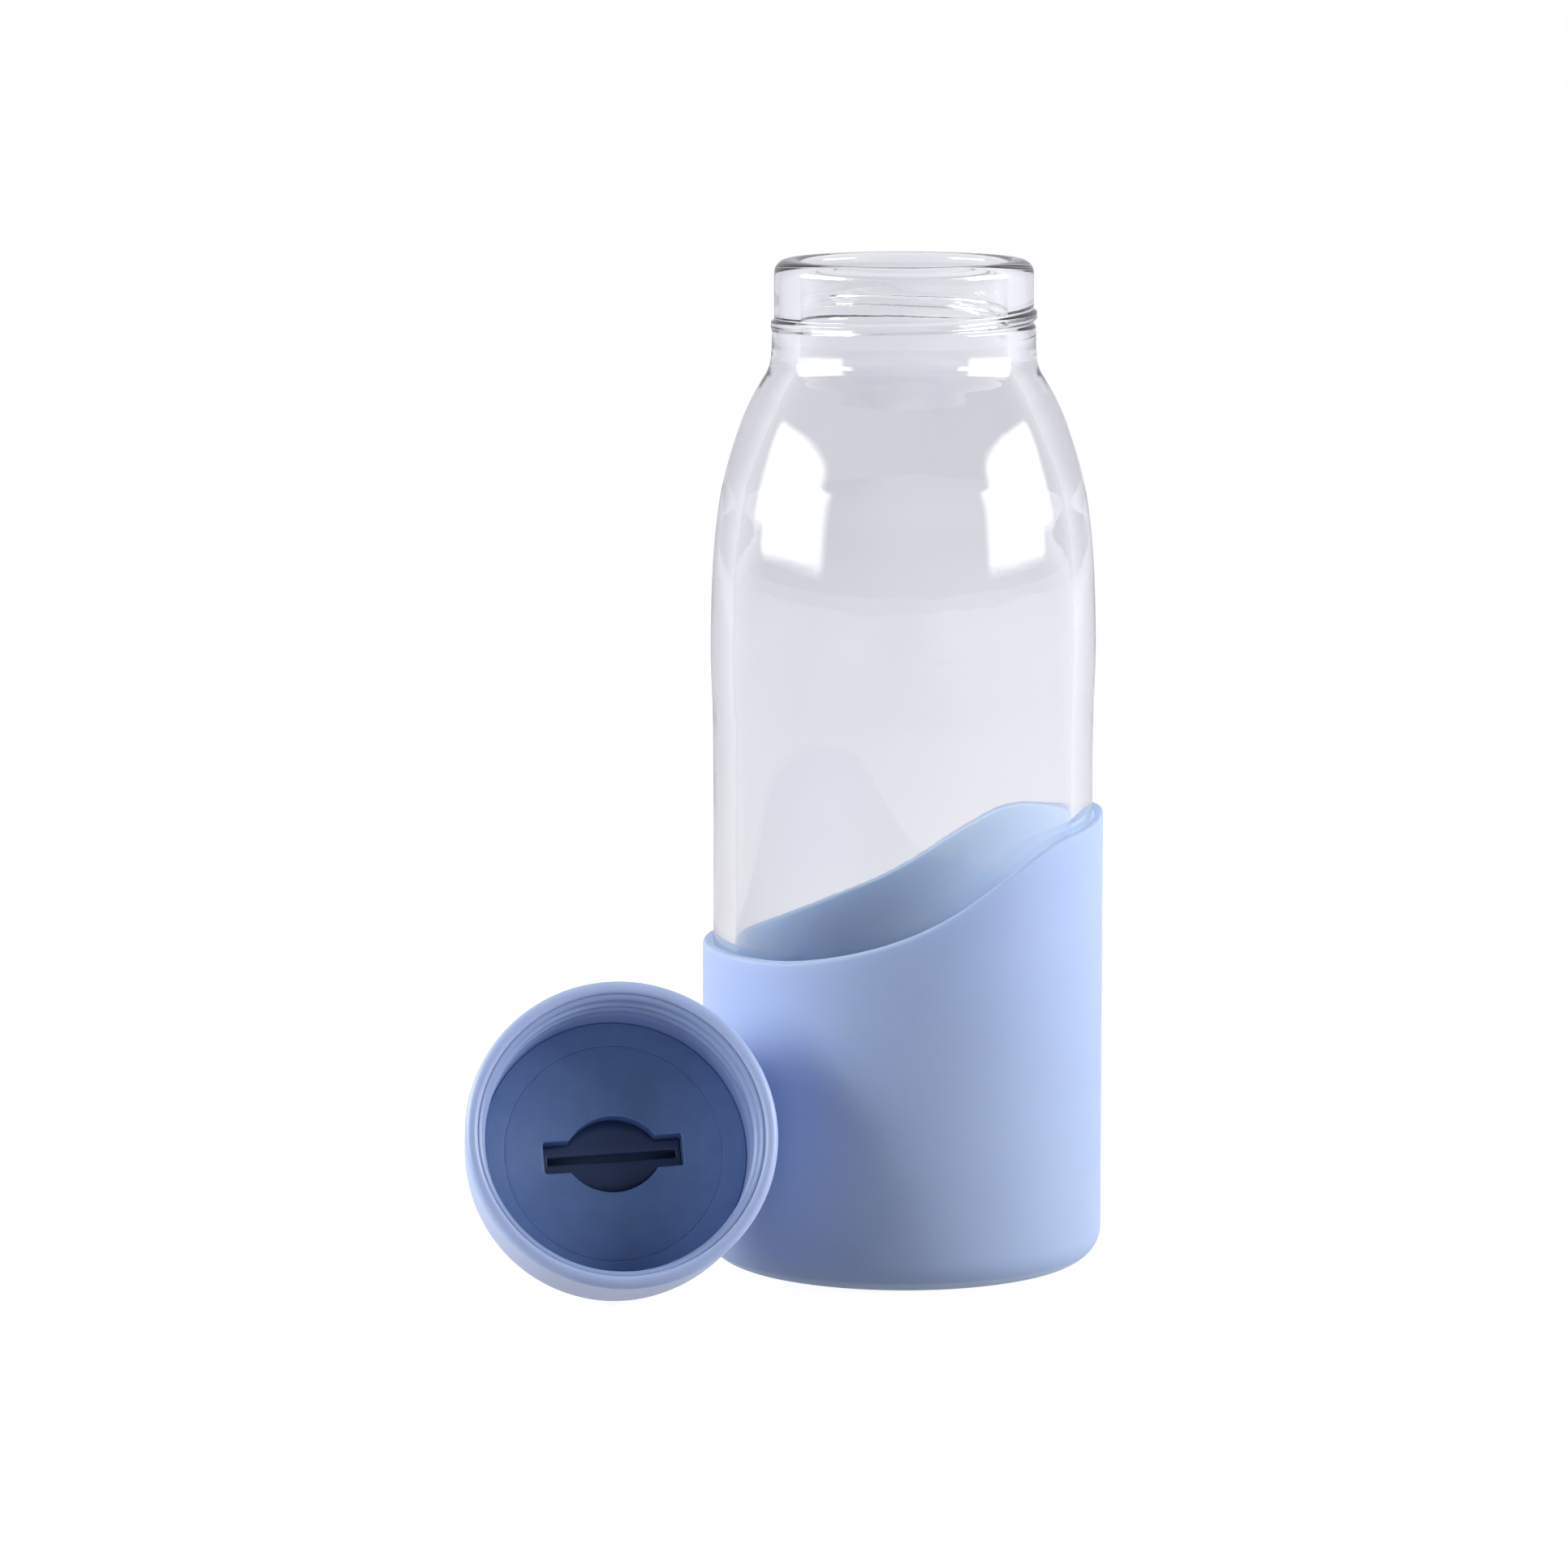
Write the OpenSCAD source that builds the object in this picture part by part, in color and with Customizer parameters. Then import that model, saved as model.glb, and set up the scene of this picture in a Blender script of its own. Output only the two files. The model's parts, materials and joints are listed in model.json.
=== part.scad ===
// Glass water bottle with a wave-cut silicone boot and a domed screw lid.
// The bottle stands on z = 0 with its axis on +Z. The lid is off and lies
// on its side beside the bottle, its opening towards -Y and tilted up.

/* [Glass bottle] */
// Height of the mouth plane above the table
bottle_h = 183; // [180:1:190]
// Radius of the straight lower body, the part that the boot grips
body_r = 34.55; // [34:0.05:34.8]
// Radius of the belly above the boot, where the bottle is widest
belly_r = 35.0; // [34.8:0.1:35.6]
// Height of the belly
belly_z = 112; // [106:1:118]
// Radius of the neck finish above the thread
neck_r = 23.45; // [23:0.05:23.6]
// Radius of the neck below the thread
neck_low_r = 23.85; // [23.6:0.05:24]
// Radius of the mouth and of the neck's bore
mouth_r = 18.8; // [17.5:0.1:19.5]
// Rounding of the outer edge of the lip
lip_round = 2.4; // [1.5:0.1:3]
// Wall of the body
body_wall = 4.0; // [3:0.1:5]
// Thickness of the heavy base
base_t = 9; // [6:0.5:14]
// Rounding of the heel
heel_r = 5; // [3:0.5:7]
// Height of the hollow pushed up under the base
punt_h = 2; // [1:0.5:3]

/* [Screw thread] */
// Rise of the thread in one turn
thread_pitch = 3.8; // [3.4:0.1:4.2]
// Turns of thread on the neck
thread_turns = 1.45; // [1:0.05:1.5]
// Crest radius of the thread on the neck
thread_r = 24.05; // [24:0.05:24.1]
// Height at which the neck's thread starts
thread_z = 169.2; // [168.5:0.1:170]
// Direction in which the neck's thread starts, from +X towards +Y
thread_start = -12; // [-180:1:180]

/* [Silicone boot] */
// Outer radius of the boot
boot_r = 36.5; // [36.2:0.1:37.5]
// Radial room between boot and glass
boot_gap = 0.06; // [0.03:0.01:0.1]
// Thickness of the boot's floor
boot_floor = 2.5; // [1.5:0.1:3.5]
// Rounding of the boot's lower edge
boot_edge = 6; // [4:0.5:7]
// Height of the low side of the wave
wave_low = 59; // [50:0.5:64]
// Height of the high side of the wave
wave_high = 81; // [74:0.5:82]
// Direction in which the wave rises, from +X towards +Y
wave_dir = 5; // [-30:1:30]

/* [Lid] */
// Outer radius of the lid near its rim
lid_r = 27.75; // [27.5:0.05:28]
// Height of the lid from rim plane to the top of the dome
lid_h = 36; // [34:0.5:38]
// How much the side tapers in, per millimetre of height
lid_taper = 0.06; // [0.03:0.005:0.07]
// Sharpness of the turn from side to dome
dome_power = 6; // [5:0.5:8]
// Wall of the outer shell
shell_wall = 2.3; // [1.8:0.1:2.4]
// Inner radius of the liner's threaded stretch
liner_r = 24.4; // [24.35:0.05:24.6]
// Inner radius of the liner below the thread
liner_low_r = 23.9; // [23.8:0.05:24]
// Depth of the sealing face below the rim plane
seal_depth = 16.5; // [15:0.5:18]
// How far the floor is dished at its centre
floor_dish = 1.2; // [0.4:0.1:2]
// Inner radius of the seal ring
seal_in_r = 19.6; // [18:0.1:20.5]

/* [Keyed recess] */
// Length of the recess over its two wings
key_len = 25; // [22:0.5:28]
// Height of the wings
key_wing = 5.7; // [4:0.1:7]
// Length of the round middle where it meets the wings
key_mid = 15.6; // [12:0.2:18]
// Height of the round middle
key_mid_h = 13.8; // [10:0.2:16]
// Depth of the recess
key_depth = 3; // [2:0.5:4]
// Length of the slot in the recess floor
slot_len = 23.2; // [20:0.2:25]
// Width of the slot
slot_w = 1.4; // [1:0.1:2]
// Turn of the recess about the lid's axis
key_turn = 2.5; // [-10:0.5:10]

/* [Lid's place beside the bottle] */
// Rim centre, along X
lid_x = -50.1; // [-60:0.1:-50]
// Rim centre, along Y
lid_y = -52.3; // [-60:0.1:-51]
// Angle by which the opening looks up
lid_tilt = 23.3; // [15:0.1:30]
// Angle by which the opening is turned towards +X
lid_swing = 7.2; // [0:0.1:10]
// Hair of room between the lid's side and the table
lid_room = 0.3; // [0:0.05:0.5]

/* [Hidden] */
$fn = 128;
seat_gap = 0.05;
glass_z = boot_floor + seat_gap;
liner_out_r = lid_r - shell_wall - 0.05;
liner_mid_r = liner_low_r + 1;
liner_back_r = liner_low_r + 0.3;
seal_t = 2.2;
liner_floor = 3.6;
liner_back = -seal_depth - seal_t - liner_floor;

// ---- small helpers -------------------------------------------------------

// Catmull-Rom curve through hand-set points, n steps a span
function cr(a, b, c, d, t) = 0.5 * ((2 * b) + (c - a) * t
    + (2 * a - 5 * b + 4 * c - d) * t * t + (3 * b - a - 3 * c + d) * t * t * t);
function curve(p, n) = [for (i = [0 : len(p) - 2], k = [0 : n - 1])
    cr(p[max(i - 1, 0)], p[i], p[i + 1], p[min(i + 2, len(p) - 1)], k / n),
    p[len(p) - 1]];
// arc about c from angle a to angle b
function arc(c, r, a, b, n) = [for (i = [0 : n])
    c + r * [cos(a + (b - a) * i / n), sin(a + (b - a) * i / n)]];

// A screw ridge of trapezoid section wound about Z. root and crest are
// radii, and a crest inside the root makes a nut's thread. The crest sinks
// towards the root over the first and last run degrees.
module ridge(root, crest, base_w, crest_w, pitch, turns, run = 40) {
    n = round(turns * 44);
    function k(i) = let (a = i * 360 * turns / n, e = 360 * turns - a)
        max(0.15, min(1, a / run, e / run));
    s = crest > root ? 1 : -1;
    pts = [for (i = [0 : n]) let (a = 360 * turns * i / n,
            z = pitch * turns * i / n, c = root + (crest - root) * k(i),
            w = crest_w + (base_w - crest_w) * (1 - k(i)) * 0.5)
        for (q = [[root, -s * base_w / 2], [c, -s * w / 2], [c, s * w / 2], [root, s * base_w / 2]])
            [q[0] * cos(a), q[0] * sin(a), z + q[1]]];
    faces = concat([[3, 2, 1, 0]],
        [for (i = [0 : n - 1], j = [0 : 3]) let (m = (j + 1) % 4, o = 4 * i)
            each [[o + j, o + m, o + 4 + m], [o + j, o + 4 + m, o + 4 + j]]],
        [[4 * n, 4 * n + 1, 4 * n + 2, 4 * n + 3]]);
    polyhedron(points = pts, faces = faces, convexity = 8);
}

// ---- glass ---------------------------------------------------------------

// shoulder from belly to neck, heights down from the mouth plane
shoulder = [[body_r, 92], [body_r + 0.1, 101], [belly_r, belly_z],
    [34.75, bottle_h - 59], [34.3, bottle_h - 51.5], [33.5, bottle_h - 44.5],
    [32.4, bottle_h - 39], [31, bottle_h - 34], [29.3, bottle_h - 29],
    [27.5, bottle_h - 25], [25.8, bottle_h - 22], [24.75, bottle_h - 20.2],
    [24.2, bottle_h - 18.6], [neck_low_r + 0.1, bottle_h - 16.5],
    [neck_low_r, bottle_h - 14.5]];
shoulder_in = [[body_r - body_wall, 88], [body_r - body_wall + 0.1, 98],
    [belly_r - body_wall, belly_z], [34.75 - body_wall, bottle_h - 60],
    [34.25 - body_wall, bottle_h - 53], [33.3 - body_wall, bottle_h - 46],
    [27.7, bottle_h - 40.5], [25.6, bottle_h - 35], [23.2, bottle_h - 29.5],
    [21.2, bottle_h - 25.5], [19.7, bottle_h - 22], [mouth_r + 0.15, bottle_h - 19],
    [mouth_r, bottle_h - 17]];

function glass_outer() = concat(
    [[0, glass_z + punt_h], [17, glass_z + punt_h]],
    arc([17, glass_z + punt_h - 40], 40, 90, 90 - 10, 1),
    [[24.5, glass_z + 0.35], [25.6, glass_z], [body_r - heel_r, glass_z]],
    arc([body_r - heel_r, glass_z + heel_r], heel_r, -84, 0, 10),
    curve(shoulder, 5),
    [[neck_low_r, bottle_h - 12.2], [neck_r, bottle_h - 11.4]],
    arc([neck_r - lip_round, bottle_h - lip_round], lip_round, 0, 90, 8),
    arc([mouth_r + 1.1, bottle_h - 1.1], 1.1, 90, 180, 5));

function glass_inner() = concat(
    [[mouth_r, bottle_h - 1.1]],
    [for (i = [len(shoulder_in) * 5 - 5 : -1 : 0]) curve(shoulder_in, 5)[i]],
    arc([body_r - body_wall - 9, glass_z + base_t + 9.5], 9, 0, -80, 10),
    [[0, glass_z + base_t + 2]]);

module glass_bottle() {
    color([0.93, 0.95, 0.98, 0.35]) {
        rotate_extrude() polygon(concat(glass_outer(), glass_inner()));
        translate([0, 0, thread_z]) rotate([0, 0, thread_start])
            ridge(neck_r - 0.5, thread_r, 2.5, 0.9, thread_pitch, thread_turns);
    }
}

// ---- silicone boot -------------------------------------------------------

// The boot's top edge seen square on to the rise: distance across, and
// height over the low side where the high side is 22 up.
wave = [[-60, 0.6], [-44, 0], [-36, -0.1], [-30, 0], [-24, 0.4], [-18, 1.4],
    [-12, 2.8], [-6, 4.6], [0, 6.9], [6, 9.9], [12, 13.6], [17, 16.8],
    [21, 19.3], [24, 20.8], [27, 21.8], [31, 22.4], [34, 23], [36.5, 24.2],
    [44, 27], [60, 28]];
function wave_z(v) = wave_low + v * (wave_high - wave_low) / 22;
function wave_line() = [for (p = curve([for (q = wave) [q[0], wave_z(q[1])]], 4)) p];

module boot_wave() {
    rotate([90, 0, wave_dir]) linear_extrude(height = 120, center = true)
        polygon(concat([[-60, -5]], wave_line(), [[60, -5]]));
}

module silicone_sleeve() {
    in_r = body_r + boot_gap;
    in_e = heel_r - 0.4;
    color([0.62, 0.69, 0.88]) intersection() {
        rotate_extrude() polygon(concat([[0, 0]],
            arc([boot_r - boot_edge, boot_edge], boot_edge, -90, 0, 12),
            [[boot_r, 100], [in_r, 100]],
            arc([in_r - in_e, boot_floor + in_e], in_e, 0, -90, 10),
            [[0, boot_floor]]));
        boot_wave();
    }
}

// ---- lid, drawn with its rim plane on z = 0 and its dome below ------------

// half profile of the outer shell, as [radius, depth]
function dome(L, r0, n) = [for (i = [1 : n]) let (t = L * sin(90 * i / n))
    if (t > 2) [i == n ? 0 : (r0 - lid_taper * t) * sqrt(1 - pow(t / L, dome_power)), t]];
lid_line = dome(lid_h, lid_r, 30);
hollow_line = dome(lid_h - shell_wall, lid_r - shell_wall, 24);
// height of the rim centre that sets the lid's side on the table
lid_z = lid_room + max([for (p = lid_line) p[0] * cos(lid_tilt) + p[1] * sin(lid_tilt)]);

module lid_place() {
    translate([lid_x, lid_y, lid_z]) rotate([90 - lid_tilt, 0, lid_swing])
        children();
}

// The shell's bore, the step under its threaded stretch, and the ledge that
// the liner's back edge is pressed against
module lid_shell() {
    color([0.66, 0.73, 0.90]) lid_place() rotate_extrude() polygon(concat(
        arc([lid_r - 1.3, -1.3], 1.3, 90, 10, 6),
        [for (p = lid_line) [p[0], -p[1]]],
        [for (i = [len(hollow_line) - 1 : -1 : 0])
            if (hollow_line[i][1] > -liner_back + 0.3) [hollow_line[i][0], -hollow_line[i][1]]],
        [[hollow_line[0][0] - 2.3, liner_back], [liner_back_r + 0.05, liner_back],
         [liner_mid_r + 0.05, liner_back + 3.6], [liner_mid_r + 0.05, -12],
         [liner_out_r + 0.05, -10.4], [liner_out_r + 0.05, -0.8]],
        arc([lid_r - shell_wall + 0.8, -0.8], 0.8, 180, 90, 4)));
}

module key_shape(l, w, mid, mid_h) {
    // box for the wings and the lens of two equal circles for the middle
    a = mid / 2;
    b = mid_h / 2;
    c = w / 2;
    // circle through [0, b] and [a, c]
    rr = (a * a + (b - c) * (b - c)) / (2 * (b - c));
    square([l, w], center = true);
    intersection() {
        translate([0, b - rr]) circle(r = rr);
        translate([0, rr - b]) circle(r = rr);
    }
}

module lid_liner() {
    z1 = -seal_depth;
    color([0.58, 0.66, 0.86]) lid_place() {
        difference() {
            rotate_extrude() polygon([[liner_out_r, -0.9], [liner_out_r, -10.45],
                [liner_mid_r, -12.05], [liner_mid_r, liner_back + 3.6],
                [liner_back_r, liner_back], [0, liner_back], [0, z1 - floor_dish],
                [seal_in_r - 0.06, z1 - floor_dish * 0.16],
                [seal_in_r - 0.06, z1 - seal_t], [liner_low_r, z1 - seal_t],
                [liner_low_r, -11.6], [liner_r, -10.6],
                [liner_r, -1.5], [liner_r + 0.5, -0.9]]);
            rotate([0, 0, key_turn]) translate([0, 0, z1 - 20])
                linear_extrude(height = 30) key_shape(key_len, key_wing, key_mid, key_mid_h);
        }
        translate([0, 0, -2.9]) rotate([0, 0, 185]) mirror([0, 0, 1]) mirror([0, 1, 0])
            ridge(liner_r + 0.4, liner_r - 0.62, 2.2, 0.9, thread_pitch, 1.5);
    }
}

module lid_gasket() {
    z1 = -seal_depth;
    color([0.60, 0.68, 0.87]) lid_place() rotate_extrude() polygon([
        [seal_in_r, z1 - seal_t + 0.05], [seal_in_r, z1 - floor_dish * 0.16],
        [23.1, z1], [23.5, z1 - 0.35], [23.5, z1 - seal_t + 0.05]]);
}

module lid_slot_insert() {
    z1 = -seal_depth;
    top = z1 - floor_dish - key_depth;
    color([0.30, 0.36, 0.50]) lid_place() rotate([0, 0, key_turn]) difference() {
        union() {
            translate([0, 0, liner_back - 3]) cylinder(r = 15, h = 3);
            translate([0, 0, liner_back - 1]) linear_extrude(height = top - liner_back + 1)
                key_shape(key_len - 0.1, key_wing - 0.1, key_mid - 0.1, key_mid_h - 0.1);
        }
        translate([-slot_len / 2, -slot_w / 2, top - 4]) cube([slot_len, slot_w, 10]);
    }
}

glass_bottle();
silicone_sleeve();
lid_shell();
lid_liner();
lid_gasket();
lid_slot_insert();
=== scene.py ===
# Glass water bottle in a wave-cut silicone boot, with its domed screw lid
# lying beside it. The looks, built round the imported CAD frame.
import json
import math

import bpy
import numpy as np
from mathutils import Matrix, Vector


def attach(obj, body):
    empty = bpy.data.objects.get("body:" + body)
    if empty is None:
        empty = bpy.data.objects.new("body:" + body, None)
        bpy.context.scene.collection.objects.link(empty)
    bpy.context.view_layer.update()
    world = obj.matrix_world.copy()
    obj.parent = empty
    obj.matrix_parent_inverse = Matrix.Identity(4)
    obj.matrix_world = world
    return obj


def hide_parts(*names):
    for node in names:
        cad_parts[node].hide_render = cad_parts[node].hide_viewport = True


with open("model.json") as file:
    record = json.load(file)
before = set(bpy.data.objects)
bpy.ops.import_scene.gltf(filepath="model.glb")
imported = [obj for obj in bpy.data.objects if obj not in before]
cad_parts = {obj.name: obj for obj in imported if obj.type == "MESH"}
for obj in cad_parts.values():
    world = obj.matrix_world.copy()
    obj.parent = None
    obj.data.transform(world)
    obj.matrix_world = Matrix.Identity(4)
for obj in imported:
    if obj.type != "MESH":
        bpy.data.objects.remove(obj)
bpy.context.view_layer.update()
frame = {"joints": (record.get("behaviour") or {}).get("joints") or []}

MM = 0.001
scene = bpy.context.scene
TAU = 2 * math.pi


# --------------------------------------------------------------------------
# small geometry helpers, all in millimetres until the mesh is made
# --------------------------------------------------------------------------

def curve(points, n):
    """Catmull-Rom curve through given points, n steps a span."""
    p = [np.array(q, float) for q in points]
    out = []
    for i in range(len(p) - 1):
        a, b = p[max(i - 1, 0)], p[i]
        c, d = p[i + 1], p[min(i + 2, len(p) - 1)]
        for k in range(n):
            t = k / n
            out.append(0.5 * ((2 * b) + (c - a) * t + (2 * a - 5 * b + 4 * c - d) * t * t
                              + (3 * b - a - 3 * c + d) * t ** 3))
    out.append(p[-1])
    return [tuple(q) for q in out]


def arc(cx, cy, r, a, b, n):
    """n + 1 points about (cx, cy) from angle a to angle b, in degrees."""
    return [(cx + r * math.cos(math.radians(a + (b - a) * i / n)),
             cy + r * math.sin(math.radians(a + (b - a) * i / n))) for i in range(n + 1)]


def line(a, b, n):
    """Points from a to b without the last one."""
    return [(a[0] + (b[0] - a[0]) * i / n, a[1] + (b[1] - a[1]) * i / n) for i in range(n)]


def tidy(profile, tol=1e-4):
    out = [profile[0]]
    for q in profile[1:]:
        if abs(q[0] - out[-1][0]) + abs(q[1] - out[-1][1]) > tol:
            out.append(q)
    return out


def smooth(x):
    x = np.clip(x, 0, 1)
    return x * x * (3 - 2 * x)


def mesh_object(name, co, faces, place=None, flip=False):
    """A smooth-shaded mesh. co is in millimetres in the piece's own frame; place
    puts it in the row frame. The own-frame point is kept as the attribute own_co,
    in millimetres, for the materials."""
    co = np.asarray(co, float)
    if flip:
        faces = [tuple(reversed(f)) for f in faces]
    me = bpy.data.meshes.new(name)
    world = co * MM
    if place is not None:
        m = np.array(place)
        world = world @ m[:3, :3].T + m[:3, 3]
    me.from_pydata([tuple(v) for v in world], [], faces)
    me.validate()
    at = me.attributes.new("own_co", "FLOAT_VECTOR", "POINT")
    at.data.foreach_set("vector", co.astype(np.float32).ravel())
    me.polygons.foreach_set("use_smooth", [True] * len(me.polygons))
    me.update()
    o = bpy.data.objects.new(name, me)
    scene.collection.objects.link(o)
    return o


def lathe(name, profile, n, push=None, place=None, closed=False, flip=False):
    """Revolves an (r, z) profile. push(theta, r, z) may move the rings' radii.
    The profile runs up the outside, so that the normals point outwards."""
    profile = tidy(profile)
    th = np.arange(n) * TAU / n
    co, rings = [], []
    for r, z in profile:
        if r < 1e-6:
            rings.append([len(co)])
            co.append((0, 0, z))
        else:
            rr = np.full(n, r)
            if push is not None:
                rr = push(th, rr, z)
            rings.append(list(range(len(co), len(co) + n)))
            co += [(rr[i] * math.cos(th[i]), rr[i] * math.sin(th[i]), z) for i in range(n)]
    faces = []
    pairs = list(zip(rings, rings[1:]))
    if closed:
        pairs.append((rings[-1], rings[0]))
    for a, b in pairs:
        for i in range(n):
            j = (i + 1) % n
            if len(a) == 1 and len(b) == 1:
                continue
            if len(a) == 1:
                faces.append((a[0], b[j], b[i]))
            elif len(b) == 1:
                faces.append((a[i], a[j], b[0]))
            else:
                faces.append((a[i], a[j], b[j], b[i]))
    return mesh_object(name, co, faces, place, flip)


def ridge(z0, start, pitch, turns, half, flank, run, sign=1):
    """Share of a screw ridge's height at (theta, z): 1 on the crest, 0 off it."""
    def share(th, z):
        best = np.zeros(len(th))
        base = (th - math.radians(start)) % TAU if sign > 0 else (math.radians(start) - th) % TAU
        for k in range(3):
            a = base + k * TAU
            end = TAU * turns
            live = a <= end
            zc = z0 + sign * pitch * a / TAU
            f = smooth((half - np.abs(z - zc)) / flank)
            fade = smooth(np.minimum(a, end - a) / math.radians(run))
            best = np.maximum(best, np.where(live, f * fade, 0))
        return best
    return share


# --------------------------------------------------------------------------
# material helpers
# --------------------------------------------------------------------------

class Mat:
    """A node material with one Principled shader, and short calls for its nodes."""

    def __init__(self, name):
        self.m = bpy.data.materials.new(name)
        self.m.use_nodes = True
        self.t = self.m.node_tree
        self.t.nodes.clear()
        self.out = self.t.nodes.new("ShaderNodeOutputMaterial")
        self.p = self.t.nodes.new("ShaderNodeBsdfPrincipled")
        self.t.links.new(self.p.outputs[0], self.out.inputs["Surface"])

    def set(self, **k):
        for key, v in k.items():
            self.p.inputs[key.replace("_", " ")].default_value = v
        return self

    def link(self, a, b):
        self.t.links.new(a, b)

    def own(self):
        n = self.t.nodes.new("ShaderNodeAttribute")
        n.attribute_name = "own_co"
        return n.outputs["Vector"]

    def noise(self, vec, scale, detail=3.0, rough=0.5):
        n = self.t.nodes.new("ShaderNodeTexNoise")
        n.inputs["Scale"].default_value = scale
        n.inputs["Detail"].default_value = detail
        n.inputs["Roughness"].default_value = rough
        self.link(vec, n.inputs["Vector"])
        return n.outputs["Fac"]

    def ramp(self, fac, lo, hi, a=0.0, b=1.0):
        n = self.t.nodes.new("ShaderNodeMapRange")
        n.clamp = True
        n.inputs["From Min"].default_value = lo
        n.inputs["From Max"].default_value = hi
        n.inputs["To Min"].default_value = a
        n.inputs["To Max"].default_value = b
        self.link(fac, n.inputs["Value"])
        return n.outputs["Result"]

    def math(self, op, a, b=None):
        n = self.t.nodes.new("ShaderNodeMath")
        n.operation = op
        for i, v in enumerate((a, b)):
            if v is None:
                continue
            if isinstance(v, (int, float)):
                n.inputs[i].default_value = v
            else:
                self.link(v, n.inputs[i])
        return n.outputs[0]

    def mix(self, fac, a, b):
        n = self.t.nodes.new("ShaderNodeMix")
        n.data_type = "RGBA"
        if isinstance(fac, (int, float)):
            n.inputs[0].default_value = fac
        else:
            self.link(fac, n.inputs[0])
        for s, v in ((6, a), (7, b)):
            if isinstance(v, tuple):
                n.inputs[s].default_value = (*v, 1)
            else:
                self.link(v, n.inputs[s])
        return n.outputs[2]

    def bump(self, height, dist, strength=1.0, normal=None):
        n = self.t.nodes.new("ShaderNodeBump")
        n.inputs["Strength"].default_value = strength
        n.inputs["Distance"].default_value = dist
        self.link(height, n.inputs["Height"])
        if normal is not None:
            self.link(normal, n.inputs["Normal"])
        return n.outputs["Normal"]

    def radius(self):
        """Distance from the piece's own axis, in millimetres."""
        s = self.t.nodes.new("ShaderNodeSeparateXYZ")
        self.link(self.own(), s.inputs[0])
        xx = self.math("MULTIPLY", s.outputs[0], s.outputs[0])
        yy = self.math("MULTIPLY", s.outputs[1], s.outputs[1])
        return self.math("SQRT", self.math("ADD", xx, yy))

    def height(self):
        s = self.t.nodes.new("ShaderNodeSeparateXYZ")
        self.link(self.own(), s.inputs[0])
        return s.outputs[2]


def give(o, mat):
    o.data.materials.clear()
    o.data.materials.append(mat.m if isinstance(mat, Mat) else mat)
    return o


# --------------------------------------------------------------------------
# materials
# --------------------------------------------------------------------------

def glass_material():
    m = Mat("clear_glass")
    m.set(Base_Color=(0.985, 0.988, 0.993, 1), Roughness=0.0, IOR=1.5, Transmission_Weight=1.0)
    # moulded glass is never quite even: long, very shallow waves, and a
    # slight orange-peel where the mould chilled it
    wave = m.noise(m.own(), 0.07, 1.0)
    peel = m.noise(m.own(), 0.45, 2.0)
    n = m.bump(wave, 0.00006)
    n = m.bump(peel, 0.000006, normal=n)
    m.link(n, m.p.inputs["Normal"])
    # lamps and soft light pass straight through to what is behind
    clear = m.t.nodes.new("ShaderNodeBsdfTransparent")
    clear.inputs[0].default_value = (0.96, 0.965, 0.975, 1)
    path = m.t.nodes.new("ShaderNodeLightPath")
    mix = m.t.nodes.new("ShaderNodeMixShader")
    m.link(m.math("MAXIMUM", path.outputs["Is Shadow Ray"], path.outputs["Is Diffuse Ray"]), mix.inputs[0])
    m.link(m.p.outputs[0], mix.inputs[1])
    m.link(clear.outputs[0], mix.inputs[2])
    m.link(mix.outputs[0], m.out.inputs["Surface"])
    return m


BOOT = (0.42, 0.53, 0.79)
SHELLC = (0.46, 0.56, 0.87)
LID = (0.34, 0.45, 0.74)
# the floor's and seal's deep blue, much darker than the liner, is painted shade of the lid's hollow
LIDFLOOR_PAINTED_SHADE = (0.165, 0.275, 0.54)


def silicone_material():
    m = Mat("boot_silicone")
    m.set(Specular_IOR_Level=0.42, Sheen_Weight=0.04, Sheen_Roughness=0.4,
          Subsurface_Weight=0.55, Subsurface_Scale=0.004, Subsurface_Radius=(0.5, 0.7, 1.0))
    m.p.inputs["Sheen Tint"].default_value = (0.8, 0.86, 1, 1)
    own = m.own()
    soft = m.noise(own, 0.035, 2.0)
    fine = m.noise(own, 3.2, 4.0, 0.6)
    grain = m.noise(own, 9.0, 2.0, 0.5)
    a = m.mix(m.ramp(soft, 0.3, 0.7), tuple(c * 0.975 for c in BOOT), tuple(c * 1.02 for c in BOOT))
    b = m.mix(m.ramp(fine, 0.62, 0.8, 0, 0.18), a, tuple(min(1, c * 1.10 + 0.02) for c in BOOT))
    # painted light: the face that clings to the glass, and the inner part of the cut edge's rounding, get a lighter
    # colour that stands in for light reaching them through the glass, and that paints a thin highlight along the cut
    # edge
    inside = m.ramp(m.radius(), 34.7, 35.1, 1.0, 0.0)
    c = m.mix(inside, b, (0.55, 0.68, 0.93))
    m.link(c, m.p.inputs["Base Color"])
    m.link(m.ramp(fine, 0.3, 0.75, 0.52, 0.64), m.p.inputs["Roughness"])
    n = m.bump(soft, 0.00012, 0.5)
    n = m.bump(fine, 0.00002, 0.5, n)
    n = m.bump(grain, 0.000010, 0.6, n)
    m.link(n, m.p.inputs["Normal"])
    return m


def lid_material(name, base, rough=0.36):
    m = Mat(name)
    m.set(Specular_IOR_Level=0.45)
    own = m.own()
    soft = m.noise(own, 0.05, 2.0)
    fine = m.noise(own, 4.5, 4.0, 0.6)
    a = m.mix(m.ramp(soft, 0.3, 0.7), tuple(c * 0.97 for c in base), tuple(min(1, c * 1.02) for c in base))
    m.link(a, m.p.inputs["Base Color"])
    m.link(m.ramp(fine, 0.3, 0.7, rough - 0.05, rough + 0.08), m.p.inputs["Roughness"])
    n = m.bump(fine, 0.000012, 0.6)
    m.link(n, m.p.inputs["Normal"])
    return m


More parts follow.
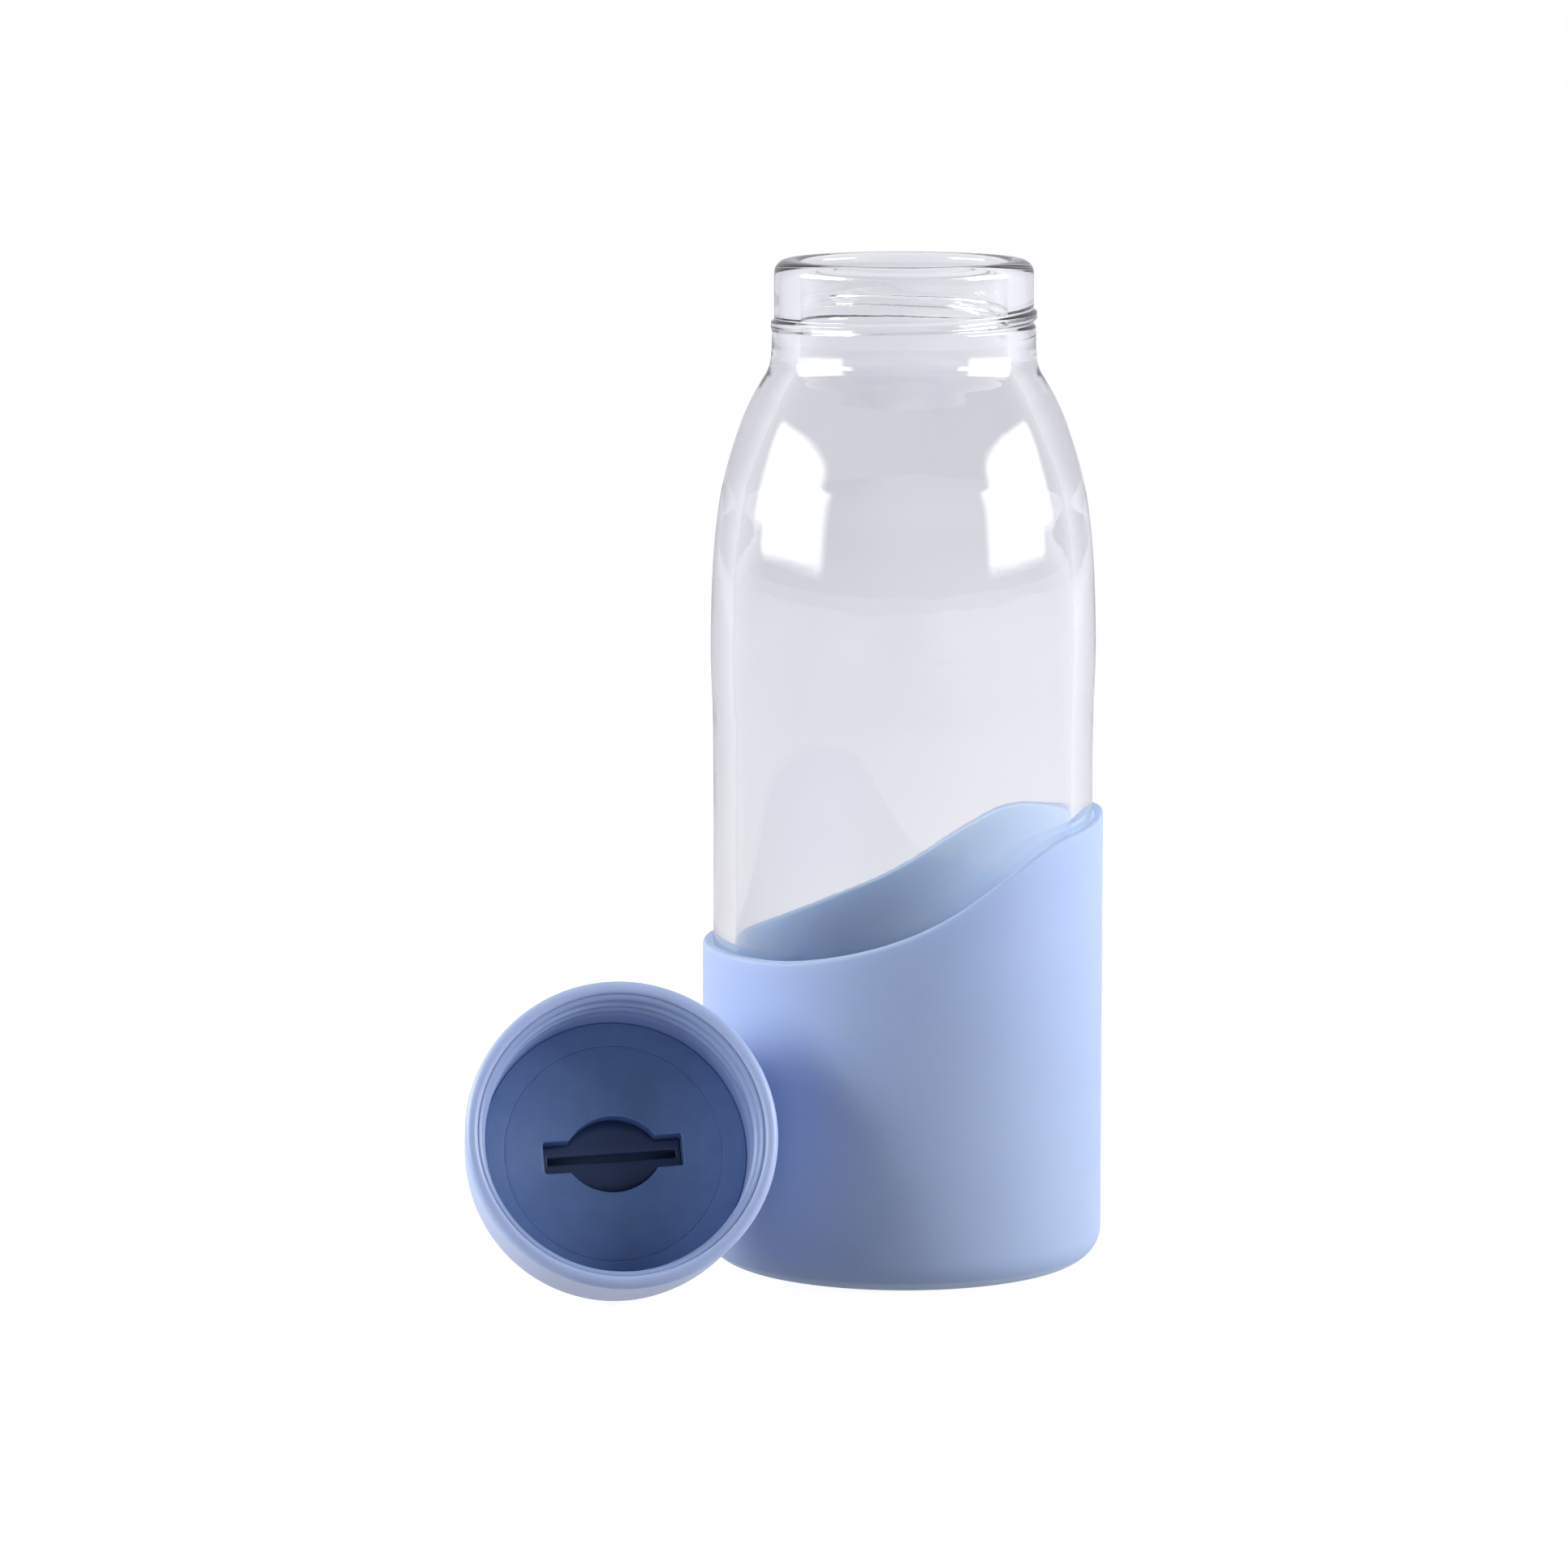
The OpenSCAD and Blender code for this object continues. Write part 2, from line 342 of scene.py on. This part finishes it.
def floor_material(name, base):
    """The lid's floor: satin plastic with the fine rings that its mould was
    turned with, so that it shines in two fans."""
    m = Mat(name)
    m.set(Specular_IOR_Level=0.5)
    own = m.own()
    r = m.radius()
    fine = m.noise(own, 5.0, 3.0, 0.6)
    rings = m.math("SINE", m.math("MULTIPLY", r, TAU / 0.22))
    uneven = m.noise(own, 0.25, 2.0)
    a = m.mix(m.ramp(uneven, 0.3, 0.7), tuple(c * 0.95 for c in base), tuple(min(1, c * 1.04) for c in base))
    m.link(a, m.p.inputs["Base Color"])
    m.link(m.ramp(fine, 0.3, 0.7, 0.30, 0.40), m.p.inputs["Roughness"])
    n = m.bump(rings, 0.000012, 1.0)
    n = m.bump(fine, 0.000008, 0.5, n)
    m.link(n, m.p.inputs["Normal"])
    return m


GLASS = glass_material()
SILICONE = silicone_material()
LIDMAT = lid_material("lid_plastic", SHELLC)
LIDMAT.set(Subsurface_Weight=0.35, Subsurface_Scale=0.003, Subsurface_Radius=(0.5, 0.7, 1.0))
LINERMAT = lid_material("liner_plastic", tuple(c * 0.98 for c in LID), 0.34)
# the lid's floor and its seal ring take the darker painted shade colour
FLOORMAT = floor_material("liner_floor_plastic", LIDFLOOR_PAINTED_SHADE)
SEALMAT = floor_material("seal_silicone", LIDFLOOR_PAINTED_SHADE)
# the slot plug and its back plate are near-black blue: painted shade in the keyed opening
INSERT_PAINTED_SHADE_MAT = lid_material("insert_plastic", (0.05, 0.085, 0.18), 0.45)

# --------------------------------------------------------------------------
# glass bottle
# --------------------------------------------------------------------------

H = 183.0          # mouth plane
BODY, BELLY, NECK, NECK_LOW, MOUTH = 34.55, 35.0, 23.45, 23.85, 18.8
WALL = 4.0
GZ = 2.55          # the glass stands this high on the boot's floor


def glass_profile():
    shoulder = [(BODY, 92), (BODY + 0.1, 101), (BELLY, 112), (34.75, H - 59),
                (34.3, H - 51.5), (33.5, H - 44.5), (32.4, H - 39), (31, H - 34),
                (29.3, H - 29), (27.5, H - 25), (25.8, H - 22), (24.75, H - 20.2),
                (24.2, H - 18.6), (NECK_LOW + 0.1, H - 16.5), (NECK_LOW, H - 14.5)]
    inside = [(BODY - WALL, 88), (BODY - WALL + 0.1, 98), (BELLY - WALL, 112),
              (34.75 - WALL, H - 60), (34.25 - WALL, H - 53), (33.3 - WALL, H - 46),
              (28.3, H - 40.5), (26.4, H - 35), (24.1, H - 29.5), (22.0, H - 25.5),
              (20.1, H - 22), (MOUTH + 0.2, H - 19), (MOUTH, H - 17)]
    out = [(0, GZ + 2), (8, GZ + 2), (16, GZ + 1.95), (19, GZ + 1.8), (21.5, GZ + 1.4),
           (23.6, GZ + 0.7), (24.6, GZ + 0.2), (25.6, GZ), (27.5, GZ)]
    out += arc(BODY - 5, GZ + 5, 5, -90, 0, 14)
    out += line((BODY, GZ + 5), (BODY, 92), 16)
    out += curve(shoulder, 8)
    # dense rings where the thread is wound
    top = (NECK_LOW, H - 14.5)
    step = [(NECK_LOW, H - 12.3), (NECK_LOW - 0.03, H - 12.0), (NECK + 0.2, H - 11.75),
            (NECK + 0.03, H - 11.45), (NECK, H - 11.2)]
    path = [top] + step + [(NECK, H - 5.5)]
    dense = []
    for a, b in zip(path, path[1:]):
        dense += line(a, b, max(1, int(round(math.dist(a, b) / 0.13))))
    out += dense + [(NECK, H - 5.5), (NECK, H - 4)]
    out += arc(NECK - 2.4, H - 2.4, 2.4, 0, 90, 14)
    out += arc(MOUTH + 1.1, H - 1.1, 1.1, 90, 180, 8)
    out += line((MOUTH, H - 1.1), (MOUTH, H - 17), 10)
    out += list(reversed(curve(inside, 8)))
    out += line((BODY - WALL, 88), (BODY - WALL, GZ + 9 + 9.5), 12)
    out += arc(BODY - WALL - 9, GZ + 9 + 9.5, 9, 0, -82, 14)
    out += [(18, GZ + 9.6), (12, GZ + 10.4), (6, GZ + 10.9), (0, GZ + 11)]
    return out


neck_thread = ridge(169.2, -12, 3.8, 1.45, 1.12, 0.62, 34)


def push_neck(th, r, z):
    if not (H - 18 < z < H - 4) or r[0] < 22:
        return r
    return r + (24.05 - r) * neck_thread(th, z)


glass = lathe("bottle_glass", glass_profile(), 256, push=push_neck)
give(glass, GLASS)
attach(glass, "bottle")
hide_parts("glass_bottle")

# --------------------------------------------------------------------------
# silicone boot
# --------------------------------------------------------------------------

BOOT_R, BOOT_IN, BOOT_EDGE, BOOT_FLOOR = 36.5, 34.61, 6.0, 2.5
WAVE = [(-60, 0.6), (-44, 0), (-36, -0.1), (-30, 0), (-24, 0.4), (-18, 1.4),
        (-12, 2.8), (-6, 4.6), (0, 6.9), (6, 9.9), (12, 13.6), (17, 16.8),
        (21, 19.3), (24, 20.8), (27, 21.8), (31, 22.4), (34, 23), (36.5, 24.2),
        (44, 27), (60, 28)]
_w = np.array(curve([(x, 59 + v) for x, v in WAVE], 12))


def wave_top(th, r):
    return np.interp(r * np.cos(th - math.radians(5)), _w[:, 0], _w[:, 1])


def boot():
    n = 320
    th = np.arange(n) * TAU / n
    e = 0.55                                   # rounding of the cut edge
    rows = []                                  # each row: radii and heights per angle

    def row(r, z):
        rows.append((np.full(n, float(r)) if np.isscalar(r) else r,
                     np.full(n, float(z)) if np.isscalar(z) else z))

    # underside: flat, with a shallow moulded ring groove near its edge
    for r, z in [(6, 0), (14, 0), (21, 0), (22.2, 0), (22.6, 0.12), (23.0, 0.35), (23.6, 0.42),
                 (24.2, 0.35), (24.6, 0.12), (25.0, 0), (27, 0), (29.2, 0)]:
        row(r, z)
    for r, z in arc(BOOT_R - BOOT_EDGE, BOOT_EDGE, BOOT_EDGE, -88, 0, 16):
        row(r, z)
    to = wave_top(th, BOOT_R)
    ti = wave_top(th, BOOT_IN)
    for k in range(1, 25):
        s = k / 24
        row(BOOT_R, BOOT_EDGE + (to - e * 1.3 - BOOT_EDGE) * s)
    for a in (15, 30, 45, 60, 75, 90):
        c, s = math.cos(math.radians(a)), math.sin(math.radians(a))
        row(BOOT_R - e + e * c, (to - e * 1.3) * (1 - s) + (to * 0.85 + ti * 0.15) * s)
    for k in (0.5,):
        row(BOOT_R - e + (BOOT_IN + e - BOOT_R + e) * k, to * 0.5 + ti * 0.5)
    for a in (90, 75, 60, 45, 30, 15, 0):
        c, s = math.cos(math.radians(a)), math.sin(math.radians(a))
        row(BOOT_IN + e - e * c, (ti - e * 1.1) * (1 - s) + (ti * 0.85 + to * 0.15) * s)
    for k in range(1, 19):
        s = k / 18
        row(BOOT_IN, (ti - e * 1.1) + (BOOT_FLOOR + 4.6 - (ti - e * 1.1)) * s)
    for r, z in arc(BOOT_IN - 4.6, BOOT_FLOOR + 4.6, 4.6, 0, -90, 10)[1:]:
        row(r, z)
    row(20, BOOT_FLOOR)
    row(8, BOOT_FLOOR)
    co, faces = [(0, 0, 0)], []
    idx = []
    for r, z in rows:
        idx.append(len(co))
        co += [(r[i] * math.cos(th[i]), r[i] * math.sin(th[i]), z[i]) for i in range(n)]
    for i in range(n):
        faces.append((0, idx[0] + (i + 1) % n, idx[0] + i))
    for a, b in zip(idx, idx[1:]):
        for i in range(n):
            j = (i + 1) % n
            faces.append((a + i, a + j, b + j, b + i))
    last = len(co)
    co.append((0, 0, BOOT_FLOOR))
    for i in range(n):
        faces.append((idx[-1] + i, idx[-1] + (i + 1) % n, last))
    return mesh_object("boot", co, faces)


sleeve = give(boot(), SILICONE)
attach(sleeve, "boot")
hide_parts("silicone_sleeve")

# --------------------------------------------------------------------------
# lid: drawn with its rim plane on z = 0 and its dome below, then placed
# --------------------------------------------------------------------------

LR, LH, TAPER, POWER = 27.75, 36.0, 0.06, 6.0
SHELL, LINER, LINER_LOW, SEAL, DISH, SEAL_T = 2.3, 24.4, 23.9, 16.5, 1.2, 2.2
LINER_OUT = LR - SHELL - 0.05
BACK = -SEAL - SEAL_T - 3.6
TILT, SWING = math.radians(23.3), math.radians(7.2)
turn = next(j for j in frame["joints"] if j["name"] == "lid_turn")
rim = Vector(turn["pos_m"])
LIDPLACE = (Matrix.Translation(rim) @ Matrix.Rotation(SWING, 4, "Z")
            @ Matrix.Rotation(math.pi / 2 - TILT, 4, "X"))


def dome(length, r0, n):
    out = []
    for i in range(1, n + 1):
        t = length * math.sin(math.radians(90 * i / n))
        if t > 2:
            out.append((0 if i == n else (r0 - TAPER * t) * math.sqrt(1 - (t / length) ** POWER), -t))
    return out


def shell_profile():
    outer = dome(LH, LR, 60)
    hollow = [q for q in dome(LH - SHELL, LR - SHELL, 40) if q[1] < BACK - 0.3]
    out = list(reversed(outer))                      # from the top of the dome to the rim
    out += arc(LR - 1.3, -1.3, 1.3, 5, 90, 12)
    out += arc(LR - SHELL + 0.9, -0.9, 0.9, 90, 172, 8)
    out += [(LINER_OUT + 0.05, -2), (LINER_OUT + 0.05, -10.4), (LINER_LOW + 1.05, -12),
            (LINER_LOW + 1.05, BACK + 3.6), (LINER_LOW + 0.35, BACK), (hollow[0][0], BACK)]
    out += hollow
    return out


shell = lathe("lid_shell_skin", shell_profile(), 192, place=LIDPLACE)
give(shell, LIDMAT)
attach(shell, "lid")
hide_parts("lid_shell")

liner_thread = ridge(-2.9, 185, 3.8, 1.5, 1.05, 0.62, 34, sign=-1)


def push_liner(th, r, z):
    if not (-12 < z < -1.2) or r[0] > LINER + 0.3:
        return r
    return r - (r - (LINER - 0.62)) * liner_thread(th, z)


def liner_wall():
    out = [(LINER_LOW + 0.3, BACK), (LINER_LOW + 1, BACK + 3.6), (LINER_LOW + 1, -12.05),
           (LINER_OUT, -10.45), (LINER_OUT, -5), (LINER_OUT + 0.02, -1.5), (LINER_OUT + 0.03, -0.98),
           (LINER_OUT - 0.01, -0.93)]
    out += [(25.2, -0.96), (25.0, -1.04), (24.8, -1.17), (24.6, -1.38), (24.47, -1.62), (LINER, -1.95)]
    out += line((LINER, -1.95), (LINER, -10.6), 68)
    out += [(LINER, -10.6), (LINER - 0.1, -10.9), (LINER_LOW + 0.1, -11.4), (LINER_LOW, -11.8),
            (LINER_LOW, -14), (LINER_LOW, -SEAL - SEAL_T + 0.3)]
    out += arc(LINER_LOW - 0.3, -SEAL - SEAL_T + 0.3, 0.3, 0, -90, 4)
    out += [(21.5, -SEAL - SEAL_T), (19.54, -SEAL - SEAL_T), (19.54, BACK)]
    return out


wall = lathe("lid_liner_wall", liner_wall(), 256, push=push_liner, place=LIDPLACE, closed=True)
give(wall, LINERMAT)
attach(wall, "lid")
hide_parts("lid_liner")

KEY_TURN = math.radians(2.5)


def floor_z(r):
    """Height of the dished floor at radius r."""
    return -SEAL - DISH * (1 - r / 23.1) if r < 23.1 else -SEAL


def key_outline(l, w, mid, mid_h, n_side, grow=0.0, corner=0.5):
    """Outline of the keyed opening, counter-clockwise: wings and a lens."""
    a, b, c = mid / 2, mid_h / 2, w / 2
    rr = (a * a + (b - c) ** 2) / (2 * (b - c))
    hl = l / 2 + grow
    c += grow
    rr += grow
    yc = b - (rr - grow)
    # meet of the wing's edge and the lens's arc
    xm = math.sqrt(max(rr * rr - (c - yc) ** 2, 0))
    quarter = []
    k = max(corner + grow * 0.5, 0.05)
    quarter += [(hl, y) for y in np.linspace(0, c - k, 4)]
    quarter += [(hl - k + k * math.cos(t), c - k + k * math.sin(t))
                for t in np.radians(np.linspace(0, 90, 5))[1:]]
    quarter += [(x, c) for x in np.linspace(hl - k, xm, 6)[1:]]
    t0 = math.atan2(c - yc, xm)
    quarter += [(rr * math.cos(t), yc + rr * math.sin(t))
                for t in np.linspace(t0, math.pi / 2, n_side)[1:]]
    # quarter runs from (hl, 0) to (0, top)
    left = [(-x, y) for x, y in reversed(quarter[:-1])]
    upper = quarter + left
    lower = [(x, -y) for x, y in reversed(upper[1:-1])]
    return np.array(upper + lower)


def loft(name, loops, cap_first=False, cap_last=False, place=None, flip=False):
    co = [tuple(q) for lp in loops for q in lp]
    n = len(loops[0])
    faces = []
    for k in range(len(loops) - 1):
        for i in range(n):
            j = (i + 1) % n
            faces.append((k * n + i, k * n + j, (k + 1) * n + j, (k + 1) * n + i))
    if cap_first:
        faces.append(tuple(reversed(range(n))))
    if cap_last:
        faces.append(tuple(range((len(loops) - 1) * n, len(loops) * n)))
    return mesh_object(name, co, faces, place, flip)


def turned(xy):
    c, s = math.cos(KEY_TURN), math.sin(KEY_TURN)
    return np.c_[xy[:, 0] * c - xy[:, 1] * s, xy[:, 0] * s + xy[:, 1] * c]


def liner_floor():
    """The dished floor with its keyed opening, from the wall's ring inwards."""
    loops = []
    bottom = BACK + 0.01
    for grow, dz in ((0.0, None), (0.0, -1.2), (0.0, -0.32), (0.04, -0.14), (0.12, -0.04), (0.26, 0.0), (0.45, 0.0)):
        k = turned(key_outline(25, 5.7, 15.6, 13.8, 14, grow))
        r = np.hypot(k[:, 0], k[:, 1])
        z = np.array([bottom if dz is None else floor_z(q) + dz for q in r])
        loops.append(np.c_[k, z])
    inner = loops[-1][:, :2]
    ang = np.arctan2(inner[:, 1], inner[:, 0])
    for s in (0.08, 0.2, 0.35, 0.5, 0.65, 0.8, 0.9, 1.0):
        outer = 19.42 * np.c_[np.cos(ang), np.sin(ang)]
        xy = inner * (1 - s) + outer * s
        z = np.array([floor_z(math.hypot(*q)) for q in xy])
        loops.append(np.c_[xy, z])
    edge = 19.42 * np.c_[np.cos(ang), np.sin(ang)]
    for r, dz in ((19.50, -0.01), (19.53, -0.03), (19.54, -0.08), (19.54, -2.2)):
        loops.append(np.c_[edge * (r / 19.42), np.full(len(ang), floor_z(19.54) + dz)])
    loops.append(np.c_[edge * (19.54 / 19.42), np.full(len(ang), bottom)])
    loops.append(loops[0].copy())
    return loft("lid_liner_floor", loops, place=LIDPLACE)


floor_piece = give(liner_floor(), FLOORMAT)
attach(floor_piece, "lid")

# seal ring, flush with the floor
seal_profile = [(19.6, -SEAL - SEAL_T + 0.05), (23.5, -SEAL - SEAL_T + 0.05), (23.84, -SEAL - 0.9),
                (23.84, -SEAL - 0.4)]
seal_profile += arc(23.6, -SEAL - 0.24, 0.24, 0, 90, 6)
seal_profile += [(22.6, floor_z(22.6)), (21.5, floor_z(21.5)), (20.4, floor_z(20.4)),
                 (19.75, floor_z(19.75)), (19.62, floor_z(19.62) - 0.01), (19.56, floor_z(19.6) - 0.05)]
seal = lathe("lid_seal_ring", seal_profile, 192, place=LIDPLACE, closed=True)
give(seal, SEALMAT)
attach(seal, "seal_ring")
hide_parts("lid_gasket")


def slot_insert():
    """Plug behind the keyed opening, with its slot."""
    top = -SEAL - DISH - 3.0
    l, w = 23.2 / 2, 1.4 / 2
    key = turned(key_outline(24.9, 5.6, 15.5, 13.7, 14))
    n = len(key)
    ang = np.arctan2(key[:, 1], key[:, 0]) - KEY_TURN
    # slot outline with the same number of points, matched by direction
    sl = []
    for x, y in key_outline(24.9, 5.6, 15.5, 13.7, 14):
        px = np.clip(x, -l, l)
        t = abs(x) / 12.45
        py = math.copysign(w, y) if abs(y) > 1e-9 else 0.0
        sl.append((px, py))
    sl = turned(np.array(sl))
    loops = [np.c_[key, np.full(n, BACK - 0.5)], np.c_[key, np.full(n, top - 0.15)],
             np.c_[key * 0.995, np.full(n, top)]]
    for s in (0.3, 0.7, 0.96):
        loops.append(np.c_[key * (1 - s) + sl * s, np.full(n, top)])
    loops.append(np.c_[sl, np.full(n, top - 0.12)])
    loops.append(np.c_[sl, np.full(n, top - 4.0)])
    return loft("lid_slot_plug", loops, cap_first=True, cap_last=True, place=LIDPLACE)


# the plug's near-black colour is painted shade
plug = give(slot_insert(), INSERT_PAINTED_SHADE_MAT)
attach(plug, "lid")
plate_profile = [(0, BACK - 3), (14.4, BACK - 3), (15, BACK - 2.5), (15, BACK - 0.02), (0, BACK - 0.02)]
plate = lathe("lid_slot_plate", plate_profile, 96, place=LIDPLACE)
give(plate, INSERT_PAINTED_SHADE_MAT)
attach(plate, "lid")
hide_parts("lid_slot_insert")

# --------------------------------------------------------------------------
# stage: pale floor, two side softboxes, soft world
# --------------------------------------------------------------------------

def stage_floor():
    """Pale round floor. The camera sees it near white, and what shines through
    the glass is the sweep behind, which darkens away from the bottle."""
    rings, n = [0.0, 0.06, 0.12, 0.25, 0.5, 1.0, 2.0, 4.0], 128
    co, faces = [(0, 0, 0)], []
    for r in rings[1:]:
        co += [(1000 * r * math.cos(TAU * i / n), 1000 * r * math.sin(TAU * i / n), -0.01) for i in range(n)]
    faces += [(0, 1 + i, 1 + (i + 1) % n) for i in range(n)]
    for k in range(len(rings) - 2):
        a, b = 1 + k * n, 1 + (k + 1) * n
        faces += [(a + i, b + i, b + (i + 1) % n, a + (i + 1) % n) for i in range(n)]
    return mesh_object("floor", co, faces)


ground = stage_floor()
fm = Mat("pale_floor")
fm.set(Base_Color=(0.9, 0.9, 0.905, 1), Roughness=0.9, Specular_IOR_Level=0.1)
path = fm.t.nodes.new("ShaderNodeLightPath")
sep = fm.t.nodes.new("ShaderNodeSeparateXYZ")
fm.link(fm.own(), sep.inputs[0])
ramp = fm.t.nodes.new("ShaderNodeValToRGB")
fm.link(fm.ramp(sep.outputs[1], 0, 3000), ramp.inputs[0])
el = ramp.color_ramp.elements
el[0].position, el[0].color = 0.0, (0.95, 0.95, 0.96, 1)
el[1].position, el[1].color = 1.0, (0.655, 0.66, 0.715, 1)
for pos, c in ((0.16, (0.80, 0.805, 0.86)), (0.25, (0.73, 0.735, 0.80)), (0.40, (0.69, 0.695, 0.755)), (0.6, (0.665, 0.67, 0.73))):
    e = el.new(pos)
    e.color = (*c, 1)
sweep = fm.t.nodes.new("ShaderNodeEmission")
fm.link(ramp.outputs[0], sweep.inputs[0])
fm.link(fm.math("ADD", fm.ramp(sep.outputs[0], -70, 50, 0.93, 1.04),
                fm.ramp(fm.math("ABSOLUTE", sep.outputs[0]), 250, 900, 0, 0.3)), sweep.inputs[1])
glow = fm.t.nodes.new("ShaderNodeEmission")
add = fm.t.nodes.new("ShaderNodeAddShader")
fm.link(fm.ramp(path.outputs["Is Camera Ray"], 0, 1, 0.13, 0.90), glow.inputs[1])
fm.link(fm.p.outputs[0], add.inputs[0])
fm.link(glow.outputs[0], add.inputs[1])
pick = fm.t.nodes.new("ShaderNodeMixShader")
fm.link(fm.math("MAXIMUM", path.outputs["Is Camera Ray"], path.outputs["Is Diffuse Ray"]), pick.inputs[0])
fm.link(sweep.outputs[0], pick.inputs[1])
fm.link(add.outputs[0], pick.inputs[2])
fm.link(pick.outputs[0], fm.out.inputs["Surface"])
fm.p.inputs["Base Color"].default_value = (0.36, 0.36, 0.365, 1)
give(ground, fm)


def softbox(name, centre, target, w, h, power, color=(1, 1, 1)):
    li = bpy.data.lights.new(name, "AREA")
    li.shape = "RECTANGLE"
    li.size, li.size_y = w, h
    li.energy = power
    li.color = color
    o = bpy.data.objects.new(name, li)
    o.location = centre
    d = Vector(target) - Vector(centre)
    o.rotation_euler = d.to_track_quat("-Z", "Y").to_euler()
    scene.collection.objects.link(o)
    return o


def radiance(w, h, level):
    """Power in watts of a flat lamp of that size with that radiance."""
    return level * w * h * math.pi


ROOM_DIM = 0.045
for who, x, w, level in (("soft_left", -0.68, 0.72, 8.2), ("soft_right", 0.68, 0.66, 9.3)):
    box = softbox(who, (x, -0.13, 0.335), (0, -0.02, 0.315), w, 0.33, radiance(w, 0.33, level))
    # the diffuser is dimmer towards its edges
    box.data.use_nodes = True
    nt = box.data.node_tree
    em = nt.nodes["Emission"]
    geo = nt.nodes.new("ShaderNodeNewGeometry")
    cut = nt.nodes.new("ShaderNodeSeparateXYZ")
    nt.links.new(geo.outputs["Parametric"], cut.inputs[0])
    parts = []
    for k in (0, 1):
        centre = nt.nodes.new("ShaderNodeMath")
        centre.operation = "SUBTRACT"
        centre.inputs[1].default_value = 0.5
        nt.links.new(cut.outputs[k], centre.inputs[0])
        far = nt.nodes.new("ShaderNodeMath")
        far.operation = "ABSOLUTE"
        nt.links.new(centre.outputs[0], far.inputs[0])
        fall = nt.nodes.new("ShaderNodeMapRange")
        fall.interpolation_type = "SMOOTHSTEP"
        for key, v in (("From Min", 0.5), ("From Max", 0.36), ("To Min", 0.12), ("To Max", 1.1)):
            fall.inputs[key].default_value = v
        nt.links.new(far.outputs[0], fall.inputs["Value"])
        parts.append(fall.outputs["Result"])
    both = nt.nodes.new("ShaderNodeMath")
    both.operation = "MULTIPLY"
    nt.links.new(parts[0], both.inputs[0])
    nt.links.new(parts[1], both.inputs[1])
    nt.links.new(both.outputs[0], em.inputs["Strength"])

world = bpy.data.worlds.new("studio")
scene.world = world
world.use_nodes = True
wt = world.node_tree
wt.nodes.clear()


def wnode(kind, **k):
    n = wt.nodes.new(kind)
    for key, v in k.items():
        setattr(n, key, v)
    return n


wo = wnode("ShaderNodeOutputWorld")
seen = wnode("ShaderNodeBackground")
seen.inputs[0].default_value = (1, 1, 1, 1)
room = wnode("ShaderNodeBackground")
coord = wnode("ShaderNodeTexCoord")
wsep = wnode("ShaderNodeSeparateXYZ")
wt.links.new(coord.outputs["Generated"], wsep.inputs[0])


def wramp(src, lo, hi, a, b):
    n = wnode("ShaderNodeMapRange", clamp=True, interpolation_type="SMOOTHSTEP")
    for key, v in (("From Min", lo), ("From Max", hi), ("To Min", a), ("To Max", b)):
        n.inputs[key].default_value = v
    wt.links.new(src, n.inputs["Value"])
    return n.outputs["Result"]


def wmath(op, a, b):
    n = wnode("ShaderNodeMath", operation=op)
    for i, v in enumerate((a, b)):
        if isinstance(v, (int, float)):
            n.inputs[i].default_value = v
        else:
            wt.links.new(v, n.inputs[i])
    return n.outputs[0]


# the room is dim on the camera's side and overhead, pale behind the bottle
back = wramp(wsep.outputs[1], -0.35, 0.75, 0.0, 1.0)
high = wramp(wsep.outputs[2], 0.5, 0.95, 1.0, 0.7)
low = wramp(wsep.outputs[2], -0.3, -0.02, 0.6, 1.0)
sides = wramp(wmath("ABSOLUTE", wsep.outputs[0], 0), 0.35, 0.8, 1.0, 1.35)
back = wmath("MULTIPLY", back, sides)
level = wmath("ADD", wmath("MULTIPLY", wmath("MULTIPLY", back, high), 0.66), ROOM_DIM)
# what shines in clear glass is the pale tent round the table, never black
wpath = wnode("ShaderNodeLightPath")
tent = wmath("MULTIPLY", wmath("MAXIMUM", wpath.outputs["Is Transmission Ray"], wpath.outputs["Is Glossy Ray"]), 0.42)
wt.links.new(wmath("MAXIMUM", level, tent), room.inputs[1])
room.inputs[0].default_value = (0.925, 0.93, 1.0, 1)
wmix = wnode("ShaderNodeMixShader")
wt.links.new(wpath.outputs["Is Camera Ray"], wmix.inputs[0])
wt.links.new(room.outputs[0], wmix.inputs[1])
wt.links.new(seen.outputs[0], wmix.inputs[2])
wt.links.new(wmix.outputs[0], wo.inputs[0])

scene.view_settings.view_transform = "Standard"

cam = bpy.data.cameras.new("camera")
cam.sensor_width = 36
cam.lens = 8765 / 1932 * 36
cam.clip_end = 50
camo = bpy.data.objects.new("camera", cam)
camo.location = (-0.02165, -1.283, 0.273)
camo.rotation_euler = (math.radians(90 - 8.23), 0, 0)
scene.collection.objects.link(camo)
scene.camera = camo
